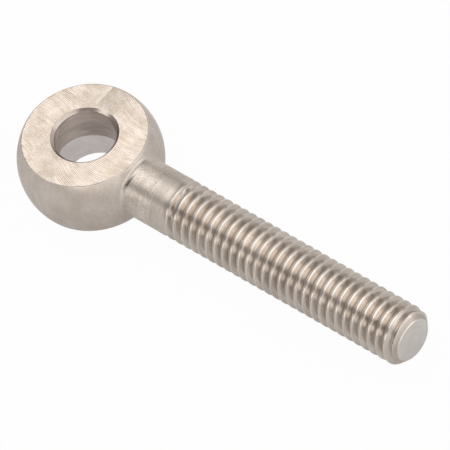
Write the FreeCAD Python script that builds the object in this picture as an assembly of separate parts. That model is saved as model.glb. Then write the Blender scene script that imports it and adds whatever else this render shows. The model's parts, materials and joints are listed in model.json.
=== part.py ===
import FreeCAD, Part
import math
import os

V = FreeCAD.Vector

# Frame: X runs along the shank and Z along the bore, with the origin in the
# middle of the bore. All lengths are in millimetres.

# Eye
ball_d = 14.0            # turned ball
eye_width = 6.9          # across the two milled flats
rim_break = 0.06         # edge break where a flat meets the ball
bore_d = 6.0             # cross bore for the hinge pin
bore_chamfer = 0.3       # 45 degree countersink at both mouths

# Shank
length = 40.0            # bore axis to the end face
shank_d = 5.88           # plain neck, and the crests of the thread, which is not cut here
neck_fillet = 0.5        # where the neck grows out of the ball
end_face_d = 4.2         # flat left inside the end chamfer, which is at 45 degrees

margin = 1.0             # how far a cutting tool reaches past the metal

# Derived sizes
ball_r = ball_d / 2
half_width = eye_width / 2
bore_r = bore_d / 2
shank_r = shank_d / 2
end_chamfer = shank_r - end_face_d / 2


def revolved(points, axis):
    """Solid of revolution of a closed outline about an axis through the origin."""
    outline = Part.makePolygon(points + points[:1])
    return Part.Face(outline).revolve(V(0, 0, 0), axis, 360)


def turned_blank():
    """Ball, fillet, shank and end chamfer as they leave the lathe."""
    fillet_x = math.sqrt((ball_r + neck_fillet) ** 2 - (shank_r + neck_fillet) ** 2)
    centre = V(fillet_x, 0, shank_r + neck_fillet)
    on_ball = centre * (ball_r / (ball_r + neck_fillet))
    on_neck = V(fillet_x, 0, shank_r)
    inward = (on_ball + on_neck) * 0.5 - centre
    fillet_mid = centre + inward.normalize() * neck_fillet
    corners = [
        on_neck,
        V(length - end_chamfer, 0, shank_r),
        V(length, 0, end_face_d / 2),
        V(length, 0, 0),
        V(-ball_r, 0, 0),
    ]
    edges = [
        Part.Arc(V(-ball_r, 0, 0), V(0, 0, ball_r), on_ball).toShape(),
        Part.Arc(on_ball, fillet_mid, on_neck).toShape(),
    ]
    edges += [Part.LineSegment(a, b).toShape() for a, b in zip(corners, corners[1:])]
    return Part.Face(Part.Wire(edges)).revolve(V(0, 0, 0), V(1, 0, 0), 360)


def slab_between_flats():
    """The space between the two milled flats, over the whole length."""
    low = V(-ball_r - margin, -ball_r - margin, -half_width)
    return Part.makeBox(length + ball_r + 2 * margin, ball_d + 2 * margin, eye_width, low)


def rim_tool(side):
    """Ring that takes the sharp edge off the circle where a flat meets the ball."""
    rim = V(math.sqrt(ball_r ** 2 - half_width ** 2), 0, half_width)
    down_ball = V(rim.z, 0, -rim.x).normalize()
    along = (V(1, 0, 0) + down_ball).normalize()
    outward = V(-along.z, 0, along.x)
    middle = rim - outward * rim_break * 0.5
    reach = rim_break * 4
    triangle = [middle - along * reach, middle + along * reach, middle + outward * reach]
    return revolved([V(p.x, 0, side * p.z) for p in triangle], V(0, 0, 1))


def bore_tool():
    """Drill for the bore with the countersinks of both mouths."""
    mouth_r = bore_r + bore_chamfer
    top = half_width + margin
    side = [
        V(0, 0, -top),
        V(mouth_r, 0, -top),
        V(mouth_r, 0, -half_width),
        V(bore_r, 0, bore_chamfer - half_width),
        V(bore_r, 0, half_width - bore_chamfer),
        V(mouth_r, 0, half_width),
        V(mouth_r, 0, top),
        V(0, 0, top),
    ]
    return revolved(side, V(0, 0, 1))


def eye_bolt():
    """The finished one-piece part."""
    body = turned_blank().common(slab_between_flats())
    for tool in (rim_tool(1), rim_tool(-1), bore_tool()):
        body = body.cut(tool)
    return body


def write_step(name, shape):
    """Write one checked solid as parts/NAME.step."""
    solid = shape.Solids[0]
    print(name, "solids", len(shape.Solids), "valid", solid.isValid(), "faces", len(solid.Faces))
    print(name, "volume", round(solid.Volume, 2), "box", solid.optimalBoundingBox(True, False))
    os.makedirs("parts", exist_ok=True)
    solid.exportStep("parts/" + name + ".step")


write_step("eye_bolt", eye_bolt())
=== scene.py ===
import json
import math

import bpy
import numpy as np
from mathutils import Matrix, Vector


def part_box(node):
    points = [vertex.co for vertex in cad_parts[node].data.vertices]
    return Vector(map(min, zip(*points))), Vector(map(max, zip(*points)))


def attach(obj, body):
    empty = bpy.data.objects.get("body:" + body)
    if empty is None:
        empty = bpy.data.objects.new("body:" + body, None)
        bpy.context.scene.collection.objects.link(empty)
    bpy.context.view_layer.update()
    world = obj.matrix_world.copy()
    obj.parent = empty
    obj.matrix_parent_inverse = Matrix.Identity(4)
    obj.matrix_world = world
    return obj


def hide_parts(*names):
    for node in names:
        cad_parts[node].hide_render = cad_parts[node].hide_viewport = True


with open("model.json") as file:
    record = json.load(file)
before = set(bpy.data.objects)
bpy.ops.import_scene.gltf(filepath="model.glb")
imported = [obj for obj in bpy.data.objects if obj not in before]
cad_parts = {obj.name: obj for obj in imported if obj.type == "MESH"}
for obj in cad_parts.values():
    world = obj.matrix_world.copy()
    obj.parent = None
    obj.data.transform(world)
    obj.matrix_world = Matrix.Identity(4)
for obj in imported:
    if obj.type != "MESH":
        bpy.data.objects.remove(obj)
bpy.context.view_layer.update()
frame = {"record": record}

# Sizes are in millimetres until a mesh is made. X runs along the shank and Z
# along the bore. Angles round the shank start at +Y and turn towards +Z, and
# angles round the bore start at +X and turn towards +Y.
MM = 0.001
TURN = 2 * math.pi

# Sizes that the frame gives
lowest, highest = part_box("eye_bolt")
mounts = {mount["name"]: mount for mount in frame["record"]["mounts"]}
ball_r = -lowest.x / MM
half_width = highest.z / MM
length = highest.x / MM
bore_r = mounts["eye_bore"]["dims"]["r_mm"]
bore_chamfer = half_width - mounts["eye_bore"]["dims"]["length_mm"] / 2
crest_r = mounts["shank"]["dims"]["r_mm"]

# Eye and neck
rim_round = 0.07          # rounded edge between a flat and the ball
mouth_round = 0.03        # rounded edges of the countersink
neck_fillet = 0.5
crest_rise = 0.02         # the die raises the crests this much above the neck
neck_r = crest_r - crest_rise

# Thread
pitch = 1.0
flank_angle = math.radians(30)
groove_depth = 0.57
crest_half = 0.085        # half the width of a crest before its edges are rounded
crest_round = 0.07
crest_x = 10.38           # a crest of the thread on the +Y side
runout_start = 10.6
runout_length = 1.7
raise_start = 9.7         # the crests rise above the neck from here
raise_length = 1.6

# End
end_face_r = 2.1
end_chamfer = crest_r - end_face_r
end_round = 0.1

# Marks and spots
cutter_r = 5.8            # arcs of the milling cutter on the flats
first_pass_x = -5.2       # middle of the cutter's arcs in its first pass
second_pass_x = 3.8       # and in its second pass
passes_meet = -1.4
far_side_y = 3.2          # the step between the passes shows beyond this
ridge_width = 0.9         # painted highlight on the raised edge before the line where the passes meet
dull_to_x = 0.6           # duller steel from that line to here
tool_ring_x = 8.2         # faint ring round the neck
fillet_shadow_x = 6.8          # painted shadow: a short dark line in the fillet where the ball meets the neck
fillet_shadow_slant = 0.4      # it runs towards the ball by this much for each radian
fillet_shadow_from = math.radians(98)
fillet_shadow_to = math.radians(136)
reamed_to = 0.29          # the reamed zone of the bore ends on a tilted line, at this height on average
reamed_tilt = 0.75        # the line rises by this much to one side
reamed_towards = math.radians(290)
ring_tilt = 0.35          # the drill's rings lean the same way, by less
die_marks_length = 1.5    # the turned marks give way to the die's along this stretch of the run-out
pip_r = 0.35              # small pip in the middle of the end face
rim_nicks = (((5.11, -3.32, 3.42), 0.22), ((3.51, -4.97, 3.42), 0.2))
rust_spot = (23.2, -1.28, 2.49)
rust_spot_r = 0.22
brown_stain = (3.3, -5.9, 0.5)
brown_stain_r = 7.0       # faint, and soft towards this distance

# Fineness of the mesh
round_count = 136         # columns round the shank, a multiple of 8
front_angle = math.radians(40)    # half the angle of the ball's square field round the neck
front_rows = 13           # from the neck out over that field
fillet_rows = 13
neck_rows = 12
flat_rows = 8
bore_rows = 14
end_rows = 9
edge_rows = 5             # over a rounded edge
weld = 0.0001             # points that agree to this are one

# Colours of the steel
STEEL = (0.62, 0.558, 0.506, 1)
FLAT_STEEL = (0.57, 0.498, 0.436, 1)
NECK_STEEL = (0.67, 0.603, 0.547, 1)
BORE_STEEL = (0.62, 0.54, 0.49, 1)
REAMED_STEEL = (0.95, 0.89, 0.87, 1)
END_STEEL = (0.69, 0.655, 0.625, 1)
BRIGHT_STEEL = (0.75, 0.70, 0.65, 1)
BROWN_STEEL = (0.48, 0.395, 0.335, 1)
# Dark colour for dirt, rust and duller steel, and for painted shade in the fillet and the thread's roots
DIRT_AND_SHADE = (0.16, 0.125, 0.105, 1)


def around_shank(x, radius, angle):
    """Points at a distance from the X axis."""
    x, radius, angle = np.broadcast_arrays(x, radius, angle)
    return np.stack([x, radius * np.cos(angle), radius * np.sin(angle)], axis=-1)


def around_bore(radius, angle, z):
    """Points at a distance from the Z axis."""
    radius, angle, z = np.broadcast_arrays(radius, angle, z)
    return np.stack([radius * np.cos(angle), radius * np.sin(angle), z], axis=-1)


def unit(vectors):
    """The same vectors at length one."""
    return vectors / np.linalg.norm(vectors, axis=-1, keepdims=True)


class Skin:
    """The faces of one closed surface, gathered patch by patch, with true normals."""

    def __init__(self):
        self.points = []
        self.normals = []
        self.quads = []
        self.finishes = []
        self.count = 0

    def patch(self, points, normals, finish, closed=True):
        """Quads between the rows of a grid of points; closed joins each row's end to its start."""
        rows, columns = points.shape[:2]
        number = self.count + np.arange(rows * columns).reshape(rows, columns)
        if closed:
            number = np.concatenate([number, number[:, :1]], axis=1)
        corners = [number[:-1, :-1], number[:-1, 1:], number[1:, 1:], number[1:, :-1]]
        quads = np.stack(corners, axis=-1).reshape(-1, 4)
        self.points.append(points.reshape(-1, 3))
        self.normals.append(np.broadcast_to(normals, points.shape).reshape(-1, 3))
        self.quads.append(quads)
        self.finishes.append(np.full(len(quads), finish))
        self.count += rows * columns

    def piece(self, name, materials):
        """One mesh object, welded along the edges of its patches."""
        points = np.concatenate(self.points)
        normals = np.concatenate(self.normals)
        quads = np.concatenate(self.quads)
        finishes = np.concatenate(self.finishes)
        # Points that patches share along their edges become one.
        cells = np.round(points / weld).astype(np.int64)
        _, first, shared = np.unique(cells, axis=0, return_index=True, return_inverse=True)
        shared = shared.reshape(-1)
        # Faces that look inward are turned round.
        corners = points[quads]
        facing = np.cross(corners[:, 2] - corners[:, 0], corners[:, 3] - corners[:, 1])
        inward = (facing * normals[quads].sum(axis=1)).sum(axis=1) < 0
        quads[inward] = quads[inward][:, ::-1]
        # A quad with two corners in one place becomes a triangle, and one without any area goes.
        faces, face_normals, face_finishes = [], [], []
        for quad, finish in zip(quads, finishes):
            kept = [corner for i, corner in enumerate(quad) if shared[corner] != shared[quad[i - 1]]]
            if len({shared[corner] for corner in kept}) >= 3:
                faces.append([int(shared[corner]) for corner in kept])
                face_normals.extend(kept)
                face_finishes.append(finish)
        mesh = bpy.data.meshes.new(name)
        mesh.from_pydata((points[first] * MM).tolist(), [], faces)
        mesh.shade_smooth()
        for material in materials:
            mesh.materials.append(material)
        mesh.polygons.foreach_set("material_index", np.array(face_finishes, dtype=np.int32))
        mesh.normals_split_custom_set(normals[face_normals].tolist())
        mesh.update()
        made = bpy.data.objects.new(name, mesh)
        bpy.context.scene.collection.objects.link(made)
        return made


def rounded_edge(start, corner, end):
    """Points of a small plane curve that rounds a corner."""
    share = np.linspace(0, 1, edge_rows)[:, None]
    start, corner, end = map(np.array, (start, corner, end))
    return start * (1 - share) ** 2 + corner * 2 * share * (1 - share) + end * share ** 2


def curve_normals(curve, sign=1):
    """Unit normals of a plane curve, to the left of its course, or to the right with sign -1."""
    along = np.gradient(curve, axis=0)
    return unit(np.stack([-along[:, 1], along[:, 0]], axis=-1)) * sign


# Places in the list of finishes
FLAT, BALL, BORE, THREAD, END = range(5)

# Columns of the mesh round the shank and round the bore
round_angles = np.linspace(0, TURN, round_count, endpoint=False)
side_count = round_count // 4
back_count = round(side_count * (math.pi - front_angle) / front_angle)
bore_angles = -front_angle + np.arange(side_count + back_count) * (2 * front_angle / side_count)

# Circles where the ball ends: the sharp rim, the start of the rounded rim, and the fillet
rim_r = math.sqrt(ball_r ** 2 - half_width ** 2)
zone_z = half_width - rim_round * rim_r / ball_r
zone_r = math.sqrt(ball_r ** 2 - zone_z ** 2)
fillet_x = math.sqrt((ball_r + neck_fillet) ** 2 - (neck_r + neck_fillet) ** 2)
fillet_start = math.atan2(neck_r + neck_fillet, fillet_x)


def ball_front(skin):
    """The field of the ball round the neck: lines fan out from the fillet's circle to a square."""
    turn = (round_angles / (TURN / 8) + 1) % 8
    side = (turn // 2).astype(int)
    along = turn % 2 - 1
    one = np.ones_like(along)
    angle = np.choose(side, [one, -along, -one, along]) * front_angle
    z = np.choose(side, [along, one, -along, -one]) * zone_z
    border = around_bore(np.sqrt(ball_r ** 2 - z ** 2), angle, z)
    circle = around_shank(ball_r * math.cos(fillet_start), ball_r * math.sin(fillet_start), round_angles)
    share = np.linspace(0, 1, front_rows)[:, None, None]
    normals = unit(circle * (1 - share) + border * share)
    skin.patch(normals * ball_r, normals, BALL)


def ball_back(skin):
    """The rest of the ball between the two rims."""
    angle = np.linspace(front_angle, TURN - front_angle, back_count + 1)[None, :]
    z = zone_z * np.linspace(-1, 1, side_count + 1)[:, None]
    points = around_bore(np.sqrt(ball_r ** 2 - z ** 2), angle, z)
    skin.patch(points, points / ball_r, BALL, closed=False)


def flats(skin):
    """Both milled flats, their rounded rims and the mouths of the bore."""
    mouth_r = bore_r + bore_chamfer
    slant = mouth_round / math.sqrt(2)
    rim = rounded_edge((zone_r, zone_z), (rim_r, half_width), (rim_r - rim_round, half_width))
    mouth = rounded_edge(
        (mouth_r + mouth_round, half_width), (mouth_r, half_width), (mouth_r - slant, half_width - slant)
    )
    inner = rounded_edge(
        (bore_r + slant, half_width - bore_chamfer + slant),
        (bore_r, half_width - bore_chamfer),
        (bore_r, half_width - bore_chamfer - mouth_round),
    )
    cone = np.array([mouth[-1], inner[0]])
    flat = np.linspace(rim[-1], mouth[0], flat_rows)
    for side in (1, -1):
        for curve, finish in ((rim, FLAT), (flat, FLAT), (mouth, BORE), (cone, BORE), (inner, BORE)):
            normal = curve_normals(curve, -1)
            points = around_bore(curve[:, :1], bore_angles[None, :], side * curve[:, 1:])
            normals = around_bore(normal[:, :1], bore_angles[None, :], side * normal[:, 1:])
            skin.patch(points, normals, finish)


def bore(skin):
    """The straight wall of the bore."""
    top = half_width - bore_chamfer - mouth_round
    z = np.linspace(top, -top, bore_rows)[:, None]
    points = around_bore(bore_r, bore_angles[None, :], z)
    skin.patch(points, around_bore(-1.0, bore_angles[None, :], 0 * z), BORE)


def neck(skin):
    """The fillet that leaves the ball, and the plain neck."""
    centre = np.array([fillet_x, neck_r + neck_fillet])
    angle = np.linspace(fillet_start + math.pi, 1.5 * math.pi, fillet_rows)
    normal = -np.stack([np.cos(angle), np.sin(angle)], axis=-1)
    curve = centre - neck_fillet * normal
    normals = around_shank(normal[:, :1], normal[:, 1:], round_angles[None, :])
    skin.patch(around_shank(curve[:, :1], curve[:, 1:], round_angles[None, :]), normals, BALL)
    x = np.linspace(fillet_x, raise_start, neck_rows)[:, None]
    points = around_shank(x, neck_r, round_angles[None, :])
    skin.patch(points, around_shank(0.0, 1.0, round_angles[None, :]), BALL)


# The thread's outline from the middle of a crest to the middle of the groove: a flat crest, a
# round shoulder, a straight flank and a round root, which touch each other smoothly
bend = math.pi / 2 - flank_angle
tangent = crest_round * math.tan(bend / 2)
shoulder_from = crest_half - tangent
shoulder_to = crest_half + tangent * math.sin(flank_angle)
sharp_depth = (pitch / 2 - crest_half) / math.tan(flank_angle)
root_r = (sharp_depth - groove_depth) / (1 / math.sin(flank_angle) - 1)
root_from = pitch / 2 - root_r * math.cos(flank_angle)


def groove_level(offset):
    """Depth of the thread's groove below the crests, by the distance from a crest's middle."""
    flank = (offset - crest_half) / math.tan(flank_angle)
    shoulder = crest_round - np.sqrt(np.maximum(crest_round ** 2 - (offset - shoulder_from) ** 2, 0))
    root = groove_depth - root_r + np.sqrt(np.maximum(root_r ** 2 - (pitch / 2 - offset) ** 2, 0))
    level = np.where(offset < shoulder_to, shoulder, flank)
    level = np.where(offset < shoulder_from, 0.0, level)
    return np.where(offset > root_from, root, level)


def groove_offsets():
    """Distances from a crest's middle at which the mesh has lines, on one side of it."""
    steps = np.sin(np.linspace(0, bend, 4))
    shoulder = shoulder_from + crest_round * steps
    root = pitch / 2 - root_r * steps
    flank = np.linspace(shoulder[-1], root[-1], 4)[1:-1]
    return np.concatenate([shoulder, flank, root])


def smooth_step(value):
    """Rises from 0 to 1 with soft ends."""
    value = np.clip(value, 0, 1)
    return value * value * (3 - 2 * value)


def thread_radius(x, angle):
    """Distance of the threaded surface from the X axis."""
    along = x - crest_x - pitch * angle / TURN
    offset = np.abs(along - pitch * np.round(along / pitch))
    # Along the run-out the groove has a raised bottom, which its flanks meet softly.
    allowed = groove_depth * np.clip((x - runout_start) / runout_length, 0, 1) ** 2
    depth = groove_level(offset)
    soft = 0.03
    share = np.clip(0.5 + 0.5 * (allowed - depth) / soft, 0, 1)
    depth = allowed * (1 - share) + depth * share - soft * share * (1 - share)
    crest = neck_r + crest_rise * smooth_step((x - raise_start) / raise_length)
    return np.minimum(crest - np.maximum(depth, 0), end_face_r + length - x)


def thread(skin):
    """The threaded surface with its run-out and end chamfer, meshed along the helix."""
    offsets = groove_offsets()
    lines = np.unique(np.round(np.concatenate([-offsets, offsets]), 6))
    turns = np.arange(-3, math.ceil((length - crest_x) / pitch) + 2)
    rows = np.unique(np.round((turns[:, None] * pitch + lines[None, :]).reshape(-1), 6))[:, None]
    angles = np.linspace(0, TURN, round_count + 1)[None, :]
    stop = length - end_round
    x = np.clip(crest_x + rows + pitch * angles / TURN, raise_start, stop)
    radius = thread_radius(x, angles)
    nudge = 0.004             # millimetres or radians to either side, for the slopes of the surface
    slope = (thread_radius(x + nudge, angles) - thread_radius(x - nudge, angles)) / (2 * nudge)
    twist = (thread_radius(x, angles + nudge) - thread_radius(x, angles - nudge)) / (2 * nudge)
    radial = around_shank(0.0, 1.0, angles)
    sideways = around_shank(0.0, 1.0, angles + TURN / 4)
    normals = radial - slope[..., None] * np.array([1.0, 0, 0]) - (twist / radius)[..., None] * sideways
    skin.patch(around_shank(x, radius, angles), unit(normals), THREAD, closed=False)


def end_face(skin):
    """The faced end with its rounded edge."""
    edge = rounded_edge(
        (length - end_round, end_face_r + end_round), (length, end_face_r), (length, end_face_r - end_round)
    )
    normal = curve_normals(edge)
    normals = around_shank(normal[:, :1], normal[:, 1:], round_angles[None, :])
    skin.patch(around_shank(edge[:, :1], edge[:, 1:], round_angles[None, :]), normals, END)
    radius = np.linspace(edge[-1, 1], 0, end_rows)[:, None]
    points = around_shank(length, radius, round_angles[None, :])
    skin.patch(points, np.array([1.0, 0, 0]), END)


class Nodes:
    """Adds nodes to one tree. A value may be a number, a tuple or the socket of another node."""

    def __init__(self, tree):
        self.tree = tree

    def join(self, value, socket):
        """Gives a socket its value, or links another node's socket to it."""
        if isinstance(value, bpy.types.NodeSocket):
            self.tree.links.new(value, socket)
        else:
            socket.default_value = value

    def add(self, kind, settings=None, **values):
        """A node with its settings and the values of its named inputs."""
        node = self.tree.nodes.new("ShaderNode" + kind)
        for name, setting in (settings or {}).items():
            setattr(node, name, setting)
        for name, value in values.items():
            self.join(value, node.inputs[name.replace("_", " ")])
        return node

    def math(self, operation, *values):
        """The result of one operation on numbers."""
        node = self.add("Math", {"operation": operation})
        for value, socket in zip(values, node.inputs):
            self.join(value, socket)
        return node.outputs[0]

    def total(self, *values):
        """All the values added up."""
        result = values[0]
        for value in values[1:]:
            result = self.math("ADD", result, value)
        return result

    def product(self, *values):
        """All the values multiplied."""
        result = values[0]
        for value in values[1:]:
            result = self.math("MULTIPLY", result, value)
        return result

    def scale(self, vector, factor):
        """A vector made longer or shorter."""
        node = self.add("VectorMath", {"operation": "SCALE"})
        self.join(vector, node.inputs[0])
        self.join(factor, node.inputs["Scale"])
        return node.outputs[0]

    def stretch(self, vector, factors):
        """A vector made longer or shorter by its own factor on each axis."""
        node = self.add("VectorMath", {"operation": "MULTIPLY"})
        self.join(vector, node.inputs[0])
        self.join(factors, node.inputs[1])
        return node.outputs[0]

    def fade(self, value, start, end, low=0.0, high=1.0):
        """Goes softly from low to high while the value goes from start to end."""
        node = self.add(
            "MapRange", {"interpolation_type": "SMOOTHSTEP"},
            Value=value, From_Min=start, From_Max=end, To_Min=low, To_Max=high,
        )
        return node.outputs["Result"]

    def blend(self, share, first, second, kind="FLOAT"):
        """From the first value to the second by a share."""
        node = self.add("Mix", {"data_type": kind})
        # The node has a pair of inputs and an output for each kind of value.
        pair, result = {"FLOAT": (2, 0), "RGBA": (6, 2)}[kind]
        self.join(share, node.inputs[0])
        self.join(first, node.inputs[pair])
        self.join(second, node.inputs[pair + 1])
        return node.outputs[result]

    def noise(self, place, scale, detail=2.0, w=None):
        """Soft noise from 0 to 1; with w it also changes along a fourth direction."""
        settings = {"noise_dimensions": "3D" if w is None else "4D"}
        node = self.add("TexNoise", settings, Vector=place, Scale=scale, Detail=detail)
        if w is not None:
            self.join(w, node.inputs["W"])
        return self.fade(node.outputs[0], 0.25, 0.75)

    def use(self, name, **values):
        """A node group of this file, placed with its own values; returns its outputs by name."""
        node = self.add("Group", {"node_tree": bpy.data.node_groups[name]}, **values)
        return {socket.name: socket for socket in node.outputs}


# Sockets of a node group
KINDS = {"value": "NodeSocketFloat", "vector": "NodeSocketVector", "colour": "NodeSocketColor"}


def effect(name, inputs, outputs):
    """An empty node group: its nodes, its inputs by name, and its output node."""
    tree = bpy.data.node_groups.new(name, "ShaderNodeTree")
    for label, (kind, value) in inputs.items():
        tree.interface.new_socket(label, in_out="INPUT", socket_type=KINDS[kind]).default_value = value
    for label, kind in outputs.items():
        tree.interface.new_socket(label, in_out="OUTPUT", socket_type=KINDS[kind])
    given = {socket.name: socket for socket in tree.nodes.new("NodeGroupInput").outputs}
    results = tree.nodes.new("NodeGroupOutput")
    return Nodes(tree), given, results


def places_on_the_bolt():
    """Where a point of the surface is, in millimetres and radians."""
    outputs = {
        "Point": "vector", "Along Shank": "value", "Beside Shank": "value", "Above Middle": "value",
        "From Shank Axis": "value", "Shank Angle": "value",
        "From Bore Axis": "value", "Bore Angle": "value",
    }
    nodes, _, results = effect("places_on_the_bolt", {}, outputs)
    point = nodes.scale(nodes.add("TexCoord").outputs["Object"], 1 / MM)
    x, y, z = nodes.add("SeparateXYZ", Vector=point).outputs

    def off_axis(first, second):
        squares = [nodes.product(value, value) for value in (first, second)]
        return nodes.math("SQRT", nodes.total(*squares))

    found = (
        point, x, y, z,
        off_axis(y, z), nodes.math("ARCTAN2", z, y), off_axis(x, y), nodes.math("ARCTAN2", y, x),
    )
    for value, socket in zip(found, results.inputs):
        nodes.join(value, socket)


def tool_marks():
    """Fine lines side by side, left by a cutting edge, which fade and change along their length."""
    inputs = {
        "Point": ("vector", (0, 0, 0)), "Across": ("value", 0.0), "Spacing": ("value", 0.2),
        "Length": ("value", 3.0), "Evenness": ("value", 0.4),
    }
    nodes, given, results = effect("tool_marks", inputs, {"Lines": "value", "Bands": "value"})
    along = nodes.scale(given["Point"], nodes.math("DIVIDE", 1.0, given["Length"]))
    across = nodes.math("DIVIDE", given["Across"], given["Spacing"])
    uneven = nodes.noise(along, 1.0, 1.0, w=across)
    # The even lines wander a little and change in strength.
    drift = nodes.noise(along, 2.0, 1.0, w=nodes.product(across, 0.15))
    turns = nodes.math("MULTIPLY_ADD", drift, 0.3, across)
    wave = nodes.math("MULTIPLY_ADD", nodes.math("SINE", nodes.product(turns, TURN)), 0.5, 0.5)
    strong = nodes.noise(along, 1.5, 1.0, w=nodes.product(across, 0.4))
    even = nodes.blend(strong, 0.5, wave)
    nodes.join(nodes.blend(given["Evenness"], uneven, even), results.inputs["Lines"])
    bands = nodes.noise(nodes.scale(along, 0.5), 1.0, 2.0, w=nodes.product(across, 0.22))
    nodes.join(bands, results.inputs["Bands"])


def satin_grain():
    """The fine speckle of a satin surface, and wider soft patches."""
    inputs = {"Point": ("vector", (0, 0, 0)), "Size": ("value", 0.1)}
    nodes, given, results = effect("satin_grain", inputs, {"Grain": "value", "Patches": "value"})
    finer = nodes.math("DIVIDE", 1.0, given["Size"])
    nodes.join(nodes.noise(given["Point"], finer, 3.0), results.inputs["Grain"])
    wider = nodes.product(finer, 0.07)
    nodes.join(nodes.noise(given["Point"], wider, 3.0), results.inputs["Patches"])


def steel_colour():
    """Bare steel, darker or lighter in soft patches and along its marks, darkened towards a dark colour for
    dirt and for painted shade.
    """
    inputs = {
        "Point": ("vector", (0, 0, 0)), "Steel": ("colour", (0.6, 0.55, 0.5, 1)),
        "Patch Size": ("value", 2.0), "Patch Depth": ("value", 0.1),
        "Marks": ("value", 0.5), "Mark Depth": ("value", 0.1), "Dirt": ("value", 0.0),
    }
    nodes, given, results = effect("steel_colour", inputs, {"Color": "colour"})
    finer = nodes.math("DIVIDE", 1.0, given["Patch Size"])
    patch = nodes.math("SUBTRACT", nodes.noise(given["Point"], finer, 4.0), 0.5)
    patch = nodes.product(patch, given["Patch Depth"])
    mark = nodes.product(nodes.math("SUBTRACT", given["Marks"], 0.5), given["Mark Depth"])
    shade = nodes.add("HueSaturation", Value=nodes.total(1.0, patch, mark))
    # Darker patches have more colour.
    nodes.join(nodes.math("MULTIPLY_ADD", patch, -1.5, 1.0), shade.inputs["Saturation"])
    nodes.join(given["Steel"], shade.inputs["Color"])
    darkened = nodes.blend(given["Dirt"], shade.outputs[0], DIRT_AND_SHADE, "RGBA")
    nodes.join(darkened, results.inputs["Color"])


def worn_edge():
    """A narrow band along an edge or a line, with a ragged border."""
    inputs = {
        "Point": ("vector", (0, 0, 0)), "Place": ("value", 0.0), "Edge": ("value", 0.0),
        "Width": ("value", 0.05), "Raggedness": ("value", 0.5),
    }
    nodes, given, results = effect("worn_edge", inputs, {"Mask": "value"})
    gap = nodes.math("ABSOLUTE", nodes.math("SUBTRACT", given["Place"], given["Edge"]))
    ragged = nodes.product(nodes.noise(given["Point"], 3.0, 3.0), given["Raggedness"])
    width = nodes.product(given["Width"], nodes.math("SUBTRACT", 1.0, ragged))
    nodes.join(nodes.fade(nodes.math("DIVIDE", gap, width), 1.0, 0.4), results.inputs["Mask"])


def handling_scratches():
    """Thin short scratches from the bin and the bench, in two directions."""
    inputs = {"Point": ("vector", (0, 0, 0)), "Size": ("value", 2.0), "Amount": ("value", 0.3)}
    nodes, given, results = effect("handling_scratches", inputs, {"Mask": "value"})
    thinness = 14.0
    least = nodes.math("MULTIPLY_ADD", given["Amount"], -0.3, 1.0)
    masks = []
    for turn in ((0.4, 0.9, 0.5), (1.3, 0.2, 2.1)):
        turned = nodes.add(
            "VectorRotate", {"rotation_type": "EULER_XYZ"}, Vector=given["Point"], Rotation=turn
        )
        thin = nodes.stretch(turned.outputs[0], (1.0, thinness, thinness))
        place = nodes.scale(thin, nodes.math("DIVIDE", 1.0, given["Size"]))
        masks.append(nodes.fade(nodes.noise(place, 1.0, 1.0), least, 1.0))
    nodes.join(nodes.math("MAXIMUM", *masks), results.inputs["Mask"])


def round_spot():
    """One round dent, spot or stain, strongest in its middle, with an uneven border."""
    inputs = {
        "Point": ("vector", (0, 0, 0)), "Centre": ("vector", (0, 0, 0)), "Radius": ("value", 0.2),
        "Fineness": ("value", 6.0),
    }
    nodes, given, results = effect("round_spot", inputs, {"Mask": "value"})
    gap = nodes.add("VectorMath", {"operation": "DISTANCE"})
    nodes.join(given["Point"], gap.inputs[0])
    nodes.join(given["Centre"], gap.inputs[1])
    ragged = nodes.product(nodes.noise(given["Point"], given["Fineness"], 2.0), given["Radius"])
    outer = nodes.math("ADD", gap.outputs["Value"], nodes.product(ragged, 0.5))
    nodes.join(nodes.fade(outer, given["Radius"], 0.0), results.inputs["Mask"])


class Finish(Nodes):
    """One finish of the steel: a metal material whose marks are worked out by nodes."""

    def __init__(self, name):
        material = bpy.data.materials.new(name)
        material.use_nodes = True
        super().__init__(material.node_tree)
        self.material = material
        self.shader = material.node_tree.nodes["Principled BSDF"]
        self.shader.inputs["Metallic"].default_value = 1
        self.at = self.use("places_on_the_bolt")
        self.point = self.at["Point"]

    def brushed_across(self, axis, amount):
        """Draws reflections out along an axis, across the marks that run round it."""
        self.join(self.add("CombineXYZ", **{axis: 1.0}).outputs[0], self.shader.inputs["Tangent"])
        self.shader.inputs["Anisotropic"].default_value = amount

    def surface(self, colour, roughness, height):
        """Joins the colour, the roughness and the height in millimetres to the shader."""
        bump = self.add("Bump", Distance=MM, Height=height)
        self.join(colour, self.shader.inputs["Base Color"])
        self.join(roughness, self.shader.inputs["Roughness"])
        self.join(bump.outputs[0], self.shader.inputs["Normal"])
        return self.material


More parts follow.
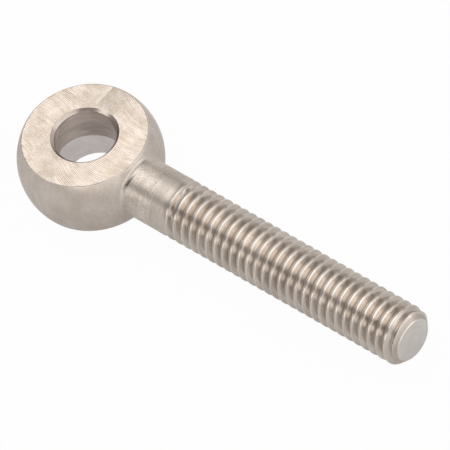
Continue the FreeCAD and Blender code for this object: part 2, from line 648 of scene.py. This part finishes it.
def milled_flat():
    """Face milled in two passes, whose arcs fade towards the line where they meet."""
    finish = Finish("milled_flat")
    at, point = finish.at, finish.point
    x, y = at["Along Shank"], at["Beside Shank"]

    def arcs(centre_x, side):
        """Which arc of the cutter a point lies on."""
        reach = finish.math("SUBTRACT", x, centre_x)
        rise = finish.math("SUBTRACT", cutter_r ** 2, finish.product(reach, reach))
        return finish.math("MULTIPLY_ADD", finish.math("SQRT", rise), side, y)

    second_pass = finish.fade(x, passes_meet - 0.05, passes_meet + 0.05)
    from_meeting = finish.math("ABSOLUTE", finish.math("SUBTRACT", x, passes_meet))
    clear = finish.fade(from_meeting, 0.3, 2.6, low=0.12)
    across = finish.blend(second_pass, arcs(first_pass_x, -1.0), arcs(second_pass_x, 1.0))
    marks = finish.use("tool_marks", Point=point, Across=across, Spacing=0.17, Length=2.0, Evenness=0.75)
    thin_lines = finish.fade(marks["Lines"], 0.1, 0.75)
    satin = finish.use("satin_grain", Point=point, Size=0.16)

    # The step between the passes: a raised edge at the end of the first, lightened as a painted highlight,
    # and duller steel after it
    far_side = finish.fade(y, far_side_y, far_side_y + 0.5)
    ridge_highlight = finish.product(
        finish.fade(x, passes_meet - ridge_width, passes_meet),
        far_side,
        finish.fade(second_pass, 1.0, 0.0),
        finish.math("MULTIPLY_ADD", satin["Grain"], 0.5, 0.5),
    )
    dull = finish.product(finish.fade(x, dull_to_x + 0.3, dull_to_x), second_pass, far_side)

    rim = finish.use("worn_edge", Point=point, Place=at["From Bore Axis"], Edge=rim_r, Width=0.12)["Mask"]
    mouth = bore_r + bore_chamfer
    lip = finish.use("worn_edge", Point=point, Place=at["From Bore Axis"], Edge=mouth, Width=0.09)["Mask"]
    scratches = finish.use("handling_scratches", Point=point, Size=1.6, Amount=0.5)["Mask"]
    nicks = [
        finish.use("round_spot", Point=point, Centre=place, Radius=size)["Mask"] for place, size in rim_nicks
    ]

    colour = finish.use(
        "steel_colour", Point=point, Steel=FLAT_STEEL, Patch_Size=1.2, Patch_Depth=0.23,
        Marks=finish.blend(clear, satin["Grain"], finish.blend(0.25, thin_lines, satin["Grain"])),
        Mark_Depth=finish.math("MULTIPLY_ADD", clear, 0.6, 0.18), Dirt=finish.product(dull, 0.1),
    )["Color"]
    # The rims are lightened as worn steel; the raised edge of the step is lightened as a painted highlight.
    rubbed = finish.math("MAXIMUM", rim, lip)
    bright = finish.math("MAXIMUM", finish.product(rubbed, 0.25), finish.product(ridge_highlight, 0.6))
    colour = finish.blend(bright, colour, BRIGHT_STEEL, "RGBA")
    roughness = finish.total(
        finish.math("MULTIPLY_ADD", marks["Bands"], 0.07, 0.27),
        finish.product(satin["Patches"], 0.05),
        finish.product(dull, 0.06),
        finish.product(rubbed, 0.1),
    )
    height = finish.total(
        finish.product(marks["Lines"], finish.product(clear, 0.006)),
        finish.product(satin["Grain"], 0.002),
        finish.product(scratches, -0.002),
        *(finish.product(nick, -0.05) for nick in nicks),
    )
    return finish.surface(colour, roughness, height)


def turned_satin(finish, across, least_roughness):
    """Marks, roughness and height of satin turned steel, on the ball, the neck and the run-out."""
    point = finish.point
    feed = finish.use("tool_marks", Point=point, Across=across, Spacing=0.14, Length=2.5, Evenness=0.25)
    broad = finish.use("tool_marks", Point=point, Across=across, Spacing=0.6, Length=3.5, Evenness=0.0)
    satin = finish.use("satin_grain", Point=point, Size=0.15)
    scratches = finish.use("handling_scratches", Point=point, Size=2.2, Amount=0.6)["Mask"]
    marks = finish.blend(0.6, feed["Lines"], satin["Grain"])
    roughness = finish.total(
        finish.math("MULTIPLY_ADD", broad["Bands"], 0.06, least_roughness),
        finish.product(satin["Patches"], 0.05),
        finish.product(scratches, 0.1),
    )
    height = finish.total(
        finish.product(feed["Lines"], 0.0016),
        finish.product(broad["Lines"], 0.0012),
        finish.product(satin["Grain"], 0.001),
        finish.product(scratches, -0.001),
    )
    return marks, roughness, height


def turned_ball():
    """The ball, the fillet and the plain neck, turned round the shank's axis."""
    finish = Finish("turned_ball")
    finish.brushed_across("X", 0.55)
    at, point = finish.at, finish.point
    x = at["Along Shank"]
    round_ball = finish.product(finish.math("ARCTAN2", at["From Shank Axis"], x), ball_r)
    smears = finish.stretch(point, (1.0, 1.0, 0.6))
    on_neck = finish.fade(x, fillet_x - 0.3, fillet_x + 0.1)
    across = finish.blend(on_neck, round_ball, x)
    marks, roughness, height = turned_satin(finish, across, finish.blend(on_neck, 0.29, 0.42))
    ring = finish.use(
        "worn_edge", Point=point, Place=x, Edge=tool_ring_x, Width=0.05, Raggedness=0.4
    )["Mask"]
    rim = finish.use("worn_edge", Point=point, Place=at["From Bore Axis"], Edge=rim_r, Width=0.16)["Mask"]
    by_flat = finish.fade(finish.math("ABSOLUTE", at["Above Middle"]), zone_z - 0.3, zone_z)
    rubbed = finish.product(rim, by_flat)

    # Painted shadow: a short dark line across the fillet where the ball meets the neck, laid on with the
    # dark colour. The groove mask here draws this painted shadow line, not a cut groove.
    turn = at["Shank Angle"]
    slanted = finish.math("MULTIPLY_ADD", finish.math("SUBTRACT", turn, fillet_shadow_from), fillet_shadow_slant, x)
    groove = finish.use(
        "worn_edge", Point=point, Place=slanted, Edge=fillet_shadow_x, Width=0.19, Raggedness=0.3
    )["Mask"]
    fillet_shadow = finish.product(
        groove,
        finish.fade(turn, fillet_shadow_from, fillet_shadow_from + 0.35),
        finish.fade(turn, fillet_shadow_to, fillet_shadow_to - 0.15),
    )
    stain = finish.use(
        "round_spot", Point=point, Centre=brown_stain, Radius=brown_stain_r, Fineness=0.6
    )["Mask"]

    colour = finish.use(
        "steel_colour", Point=smears, Steel=finish.blend(on_neck, STEEL, NECK_STEEL, "RGBA"),
        Patch_Size=2.2, Patch_Depth=0.2, Marks=marks,
        Mark_Depth=finish.math("MULTIPLY_ADD", on_neck, 0.38, 0.26), Dirt=finish.product(fillet_shadow, 0.85),
    )["Color"]
    colour = finish.blend(finish.product(stain, 0.55), colour, BROWN_STEEL, "RGBA")
    bright = finish.math("MAXIMUM", finish.product(ring, 0.5), rubbed)
    colour = finish.blend(finish.product(bright, 0.7), colour, BRIGHT_STEEL, "RGBA")
    return finish.surface(colour, roughness, finish.math("MULTIPLY_ADD", ring, -0.002, height))


def bored_wall():
    """Bore and countersinks: the drill's rings in the upper part, and a smooth reamed zone below them."""
    finish = Finish("bored_wall")
    finish.brushed_across("Z", 0.5)
    at, point = finish.at, finish.point
    z = at["Above Middle"]
    tilt = finish.math("COSINE", finish.math("SUBTRACT", at["Bore Angle"], reamed_towards))
    border = finish.math("MULTIPLY_ADD", tilt, reamed_tilt, reamed_to)
    above = finish.math("SUBTRACT", z, border)
    drilled = finish.fade(above, -0.06, 0.06)
    countersunk = finish.fade(at["From Bore Axis"], bore_r + 0.01, bore_r + 0.03)
    slanted = finish.math("MULTIPLY_ADD", tilt, -ring_tilt, z)
    rings = finish.use("tool_marks", Point=point, Across=slanted, Spacing=0.25, Length=1.5, Evenness=0.4)
    chatter = finish.use(
        "tool_marks", Point=point, Across=at["From Bore Axis"], Spacing=0.07, Length=2.0, Evenness=0.3
    )
    satin = finish.use("satin_grain", Point=point, Size=0.1)
    lip = finish.use(
        "worn_edge", Point=point, Place=at["From Bore Axis"], Edge=bore_r + 0.02, Width=0.05
    )["Mask"]
    lip = finish.product(lip, countersunk)

    rough_drilled = finish.product(drilled, finish.math("SUBTRACT", 1.0, countersunk))
    marks = finish.blend(countersunk, rings["Lines"], chatter["Lines"])
    depth = finish.math("MULTIPLY_ADD", rough_drilled, 0.4, 0.06)
    darkening = finish.product(rings["Bands"], finish.product(rough_drilled, 0.35))
    colour = finish.use(
        "steel_colour", Point=point, Steel=finish.blend(drilled, REAMED_STEEL, BORE_STEEL, "RGBA"),
        Patch_Size=1.6, Patch_Depth=0.1, Marks=marks, Mark_Depth=depth, Dirt=darkening,
    )["Color"]
    colour = finish.blend(finish.product(lip, 0.6), colour, BRIGHT_STEEL, "RGBA")
    roughness = finish.total(
        finish.math("MULTIPLY_ADD", rough_drilled, 0.06, 0.13),
        finish.product(countersunk, 0.16),
        finish.product(satin["Patches"], 0.04),
    )
    height = finish.total(
        finish.product(rings["Lines"], finish.math("MULTIPLY_ADD", rough_drilled, 0.008, 0.0006)),
        finish.product(chatter["Lines"], finish.product(countersunk, 0.002)),
        finish.product(satin["Grain"], 0.0008),
        finish.product(finish.fade(above, -0.02, 0.02), 0.004),
    )
    return finish.surface(colour, roughness, height)


def cut_thread():
    """Thread cut by a die, with lines along its flanks, crests lightened as worn steel and as a painted
    highlight, and roots darkened as painted shade.
    """
    finish = Finish("cut_thread")
    finish.brushed_across("X", 0.45)
    at, point = finish.at, finish.point
    radius = at["From Shank Axis"]
    x = at["Along Shank"]
    threaded = finish.fade(x, runout_start, runout_start + die_marks_length)
    chamfer_x = length - end_chamfer
    chamfered = finish.fade(x, chamfer_x - 0.05, chamfer_x + 0.05)
    flank = finish.use("tool_marks", Point=point, Across=radius, Spacing=0.14, Length=2.2, Evenness=0.3)
    turned, turned_roughness, turned_height = turned_satin(finish, x, 0.42)
    satin = finish.use("satin_grain", Point=point, Size=0.1)
    # The crests are lightened, as worn steel and as a painted highlight along them.
    crest = finish.use(
        "worn_edge", Point=point, Place=radius, Edge=crest_r, Width=0.03, Raggedness=0.2
    )["Mask"]
    crest = finish.product(crest, threaded)
    # Painted shade: the roots darken with depth towards the dark colour.
    root = finish.fade(radius, crest_r - 0.3, crest_r - groove_depth)
    rust = finish.use("round_spot", Point=point, Centre=rust_spot, Radius=rust_spot_r)["Mask"]

    marks = finish.blend(threaded, turned, flank["Lines"])
    # The darkening holds the painted shade of the roots and the real rust spot.
    darkening = finish.total(finish.product(root, 0.24), finish.product(rust, 0.6))
    colour = finish.use(
        "steel_colour", Point=point, Steel=STEEL, Patch_Size=2.6, Patch_Depth=0.15,
        Marks=marks, Mark_Depth=0.3, Dirt=darkening,
    )["Color"]
    colour = finish.blend(finish.product(crest, 0.4), colour, BRIGHT_STEEL, "RGBA")
    roughness = finish.total(
        finish.math("MULTIPLY_ADD", flank["Bands"], 0.05, 0.2),
        finish.product(satin["Patches"], 0.04),
        finish.product(root, 0.16),
        finish.product(crest, 0.04),
    )
    height = finish.total(
        finish.product(flank["Lines"], 0.0026),
        finish.product(satin["Grain"], 0.0005),
        finish.product(chamfered, turned, 0.003),
    )
    return finish.surface(
        colour,
        finish.blend(threaded, turned_roughness, roughness),
        finish.blend(threaded, turned_height, height),
    )


def faced_end():
    """End face turned flat, with rings that run in to a small pip."""
    finish = Finish("faced_end")
    at, point = finish.at, finish.point
    radius = at["From Shank Axis"]
    rings = finish.use("tool_marks", Point=point, Across=radius, Spacing=0.16, Length=1.6, Evenness=0.4)
    satin = finish.use("satin_grain", Point=point, Size=0.1)
    scratches = finish.use("handling_scratches", Point=point, Size=1.2, Amount=0.6)["Mask"]
    rim = finish.use("worn_edge", Point=point, Place=radius, Edge=end_face_r, Width=0.12)["Mask"]
    pip = finish.fade(radius, pip_r, 0.0)

    colour = finish.use(
        "steel_colour", Point=point, Steel=END_STEEL, Patch_Size=1.4, Patch_Depth=0.09,
        Marks=rings["Lines"], Mark_Depth=0.12,
    )["Color"]
    colour = finish.blend(finish.product(rim, 0.3), colour, BRIGHT_STEEL, "RGBA")
    roughness = finish.total(
        finish.math("MULTIPLY_ADD", rings["Bands"], 0.08, 0.28),
        finish.product(scratches, 0.08),
        finish.product(pip, -0.06),
    )
    height = finish.total(
        finish.product(rings["Lines"], 0.0025),
        finish.product(satin["Grain"], 0.0012),
        finish.product(pip, 0.02),
        finish.product(scratches, -0.0015),
    )
    return finish.surface(colour, roughness, height)


def eye_bolt():
    """The whole bolt as one piece."""
    for build_effect in (
        places_on_the_bolt, tool_marks, satin_grain, steel_colour,
        worn_edge, handling_scratches, round_spot,
    ):
        build_effect()
    materials = [milled_flat(), turned_ball(), bored_wall(), cut_thread(), faced_end()]
    skin = Skin()
    for part in (ball_front, ball_back, flats, bore, neck, thread, end_face):
        part(skin)
    made = skin.piece("bolt", materials)
    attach(made, "root")
    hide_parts("eye_bolt")
    return made


def floor():
    """A pale floor under the eye, which takes the shadow and glows for the camera and for reflections."""
    reach = 0.6
    shade = 0.76
    seen_glow = 0.97          # the camera sees this share of glow, and shaded paint for the rest
    mirrored_glow = 0.3       # the same for what the steel mirrors
    sides = ((-1, -1), (1, -1), (1, 1), (-1, 1))
    corners = [(reach * x, reach * y, lowest.z) for x, y in sides]
    mesh = bpy.data.meshes.new("floor")
    mesh.from_pydata(corners, [], [(0, 1, 2, 3)])
    made = bpy.data.objects.new("floor", mesh)
    bpy.context.scene.collection.objects.link(made)
    material = bpy.data.materials.new("pale_floor")
    material.use_nodes = True
    material.node_tree.nodes.clear()
    nodes = Nodes(material.node_tree)
    ray = nodes.add("LightPath").outputs
    mirrored = nodes.math("MAXIMUM", ray["Is Glossy Ray"], ray["Is Transmission Ray"])
    seen = nodes.product(ray["Is Camera Ray"], seen_glow)
    share = nodes.math("MULTIPLY_ADD", mirrored, mirrored_glow, seen)
    paint = nodes.add("BsdfDiffuse", Color=(shade, shade, shade, 1))
    glow = nodes.add("Emission", Color=(1, 1, 1, 1), Strength=1.0)
    mix = nodes.add("MixShader")
    for value, socket in zip((share, paint.outputs[0], glow.outputs[0]), mix.inputs):
        nodes.join(value, socket)
    nodes.join(mix.outputs[0], nodes.tree.nodes.new("ShaderNodeOutputMaterial").inputs["Surface"])
    mesh.materials.append(material)


def from_angles(azimuth, elevation):
    """The direction of a point seen from the object; azimuth 0 is towards -Y and 90 towards +X."""
    a, e = math.radians(azimuth), math.radians(elevation)
    return Vector((math.sin(a) * math.cos(e), -math.cos(a) * math.cos(e), math.sin(e)))


def softbox(name, azimuth, elevation, width, height, radiance, colour):
    """A rectangular lamp that faces the object and isn't seen by the camera. Sizes are in metres."""
    distance = 0.32
    lamp = bpy.data.lights.new(name, "AREA")
    lamp.shape = "RECTANGLE"
    lamp.size = width
    lamp.size_y = height
    lamp.color = colour
    lamp.energy = radiance * math.pi * width * height
    made = bpy.data.objects.new(name, lamp)
    bpy.context.scene.collection.objects.link(made)
    aim = Vector((0.015, 0, 0))
    away = from_angles(azimuth, elevation)
    made.location = aim + away * distance
    made.rotation_euler = away.to_track_quat("Z", "Y").to_euler()
    made.visible_camera = False


def lights():
    """Softboxes overhead, at the ends, in front and behind, and soft fill from all round."""
    white = (1.0, 0.99, 0.975)
    warm = (1.0, 0.97, 0.93)
    warmer = (1.0, 0.95, 0.89)
    fill = (1.0, 0.95, 0.90, 1)
    fill_strength = 0.29
    softbox("overhead", azimuth=-82, elevation=69, width=0.28, height=0.185, radiance=2.2, colour=white)
    softbox("beyond_eye", azimuth=-137, elevation=44, width=0.19, height=0.17, radiance=0.8, colour=warm)
    softbox("past_end", azimuth=101, elevation=33, width=0.5, height=0.38, radiance=0.9, colour=white)
    softbox("front_low", azimuth=-26, elevation=21, width=0.17, height=0.12, radiance=1.8, colour=white)
    softbox("front_strip", azimuth=42, elevation=6, width=0.52, height=0.05, radiance=1.7, colour=warmer)
    softbox("back_low", azimuth=156, elevation=12, width=1.0, height=0.135, radiance=0.62, colour=white)
    world = bpy.data.worlds.new("studio")
    bpy.context.scene.world = world
    world.use_nodes = True
    back = world.node_tree.nodes["Background"]
    back.inputs["Color"].default_value = fill
    back.inputs["Strength"].default_value = fill_strength


def camera():
    """The photograph's viewpoint, far off with a long lens."""
    azimuth = 52.2487
    elevation = 50.7817
    roll = -15.453
    distance = 1.9
    focal_length = 1616.63
    aim = Vector((12.205, 3.763, -5.995)) * MM
    lens = bpy.data.cameras.new("camera")
    lens.sensor_width = 36
    lens.lens = focal_length
    lens.clip_start = 0.1
    lens.clip_end = 10
    made = bpy.data.objects.new("camera", lens)
    bpy.context.scene.collection.objects.link(made)
    back = from_angles(azimuth, elevation)
    across = Vector((math.cos(math.radians(azimuth)), math.sin(math.radians(azimuth)), 0))
    up = back.cross(across)
    turned = Matrix((across, up, back)).transposed() @ Matrix.Rotation(math.radians(roll), 3, "Z")
    made.matrix_world = Matrix.Translation(aim + back * distance) @ turned.to_4x4()
    bpy.context.scene.camera = made


bolt = eye_bolt()
print("triangles", sum(len(face.vertices) - 2 for face in bolt.data.polygons))
floor()
lights()
camera()
bpy.context.scene.view_settings.view_transform = "Standard"
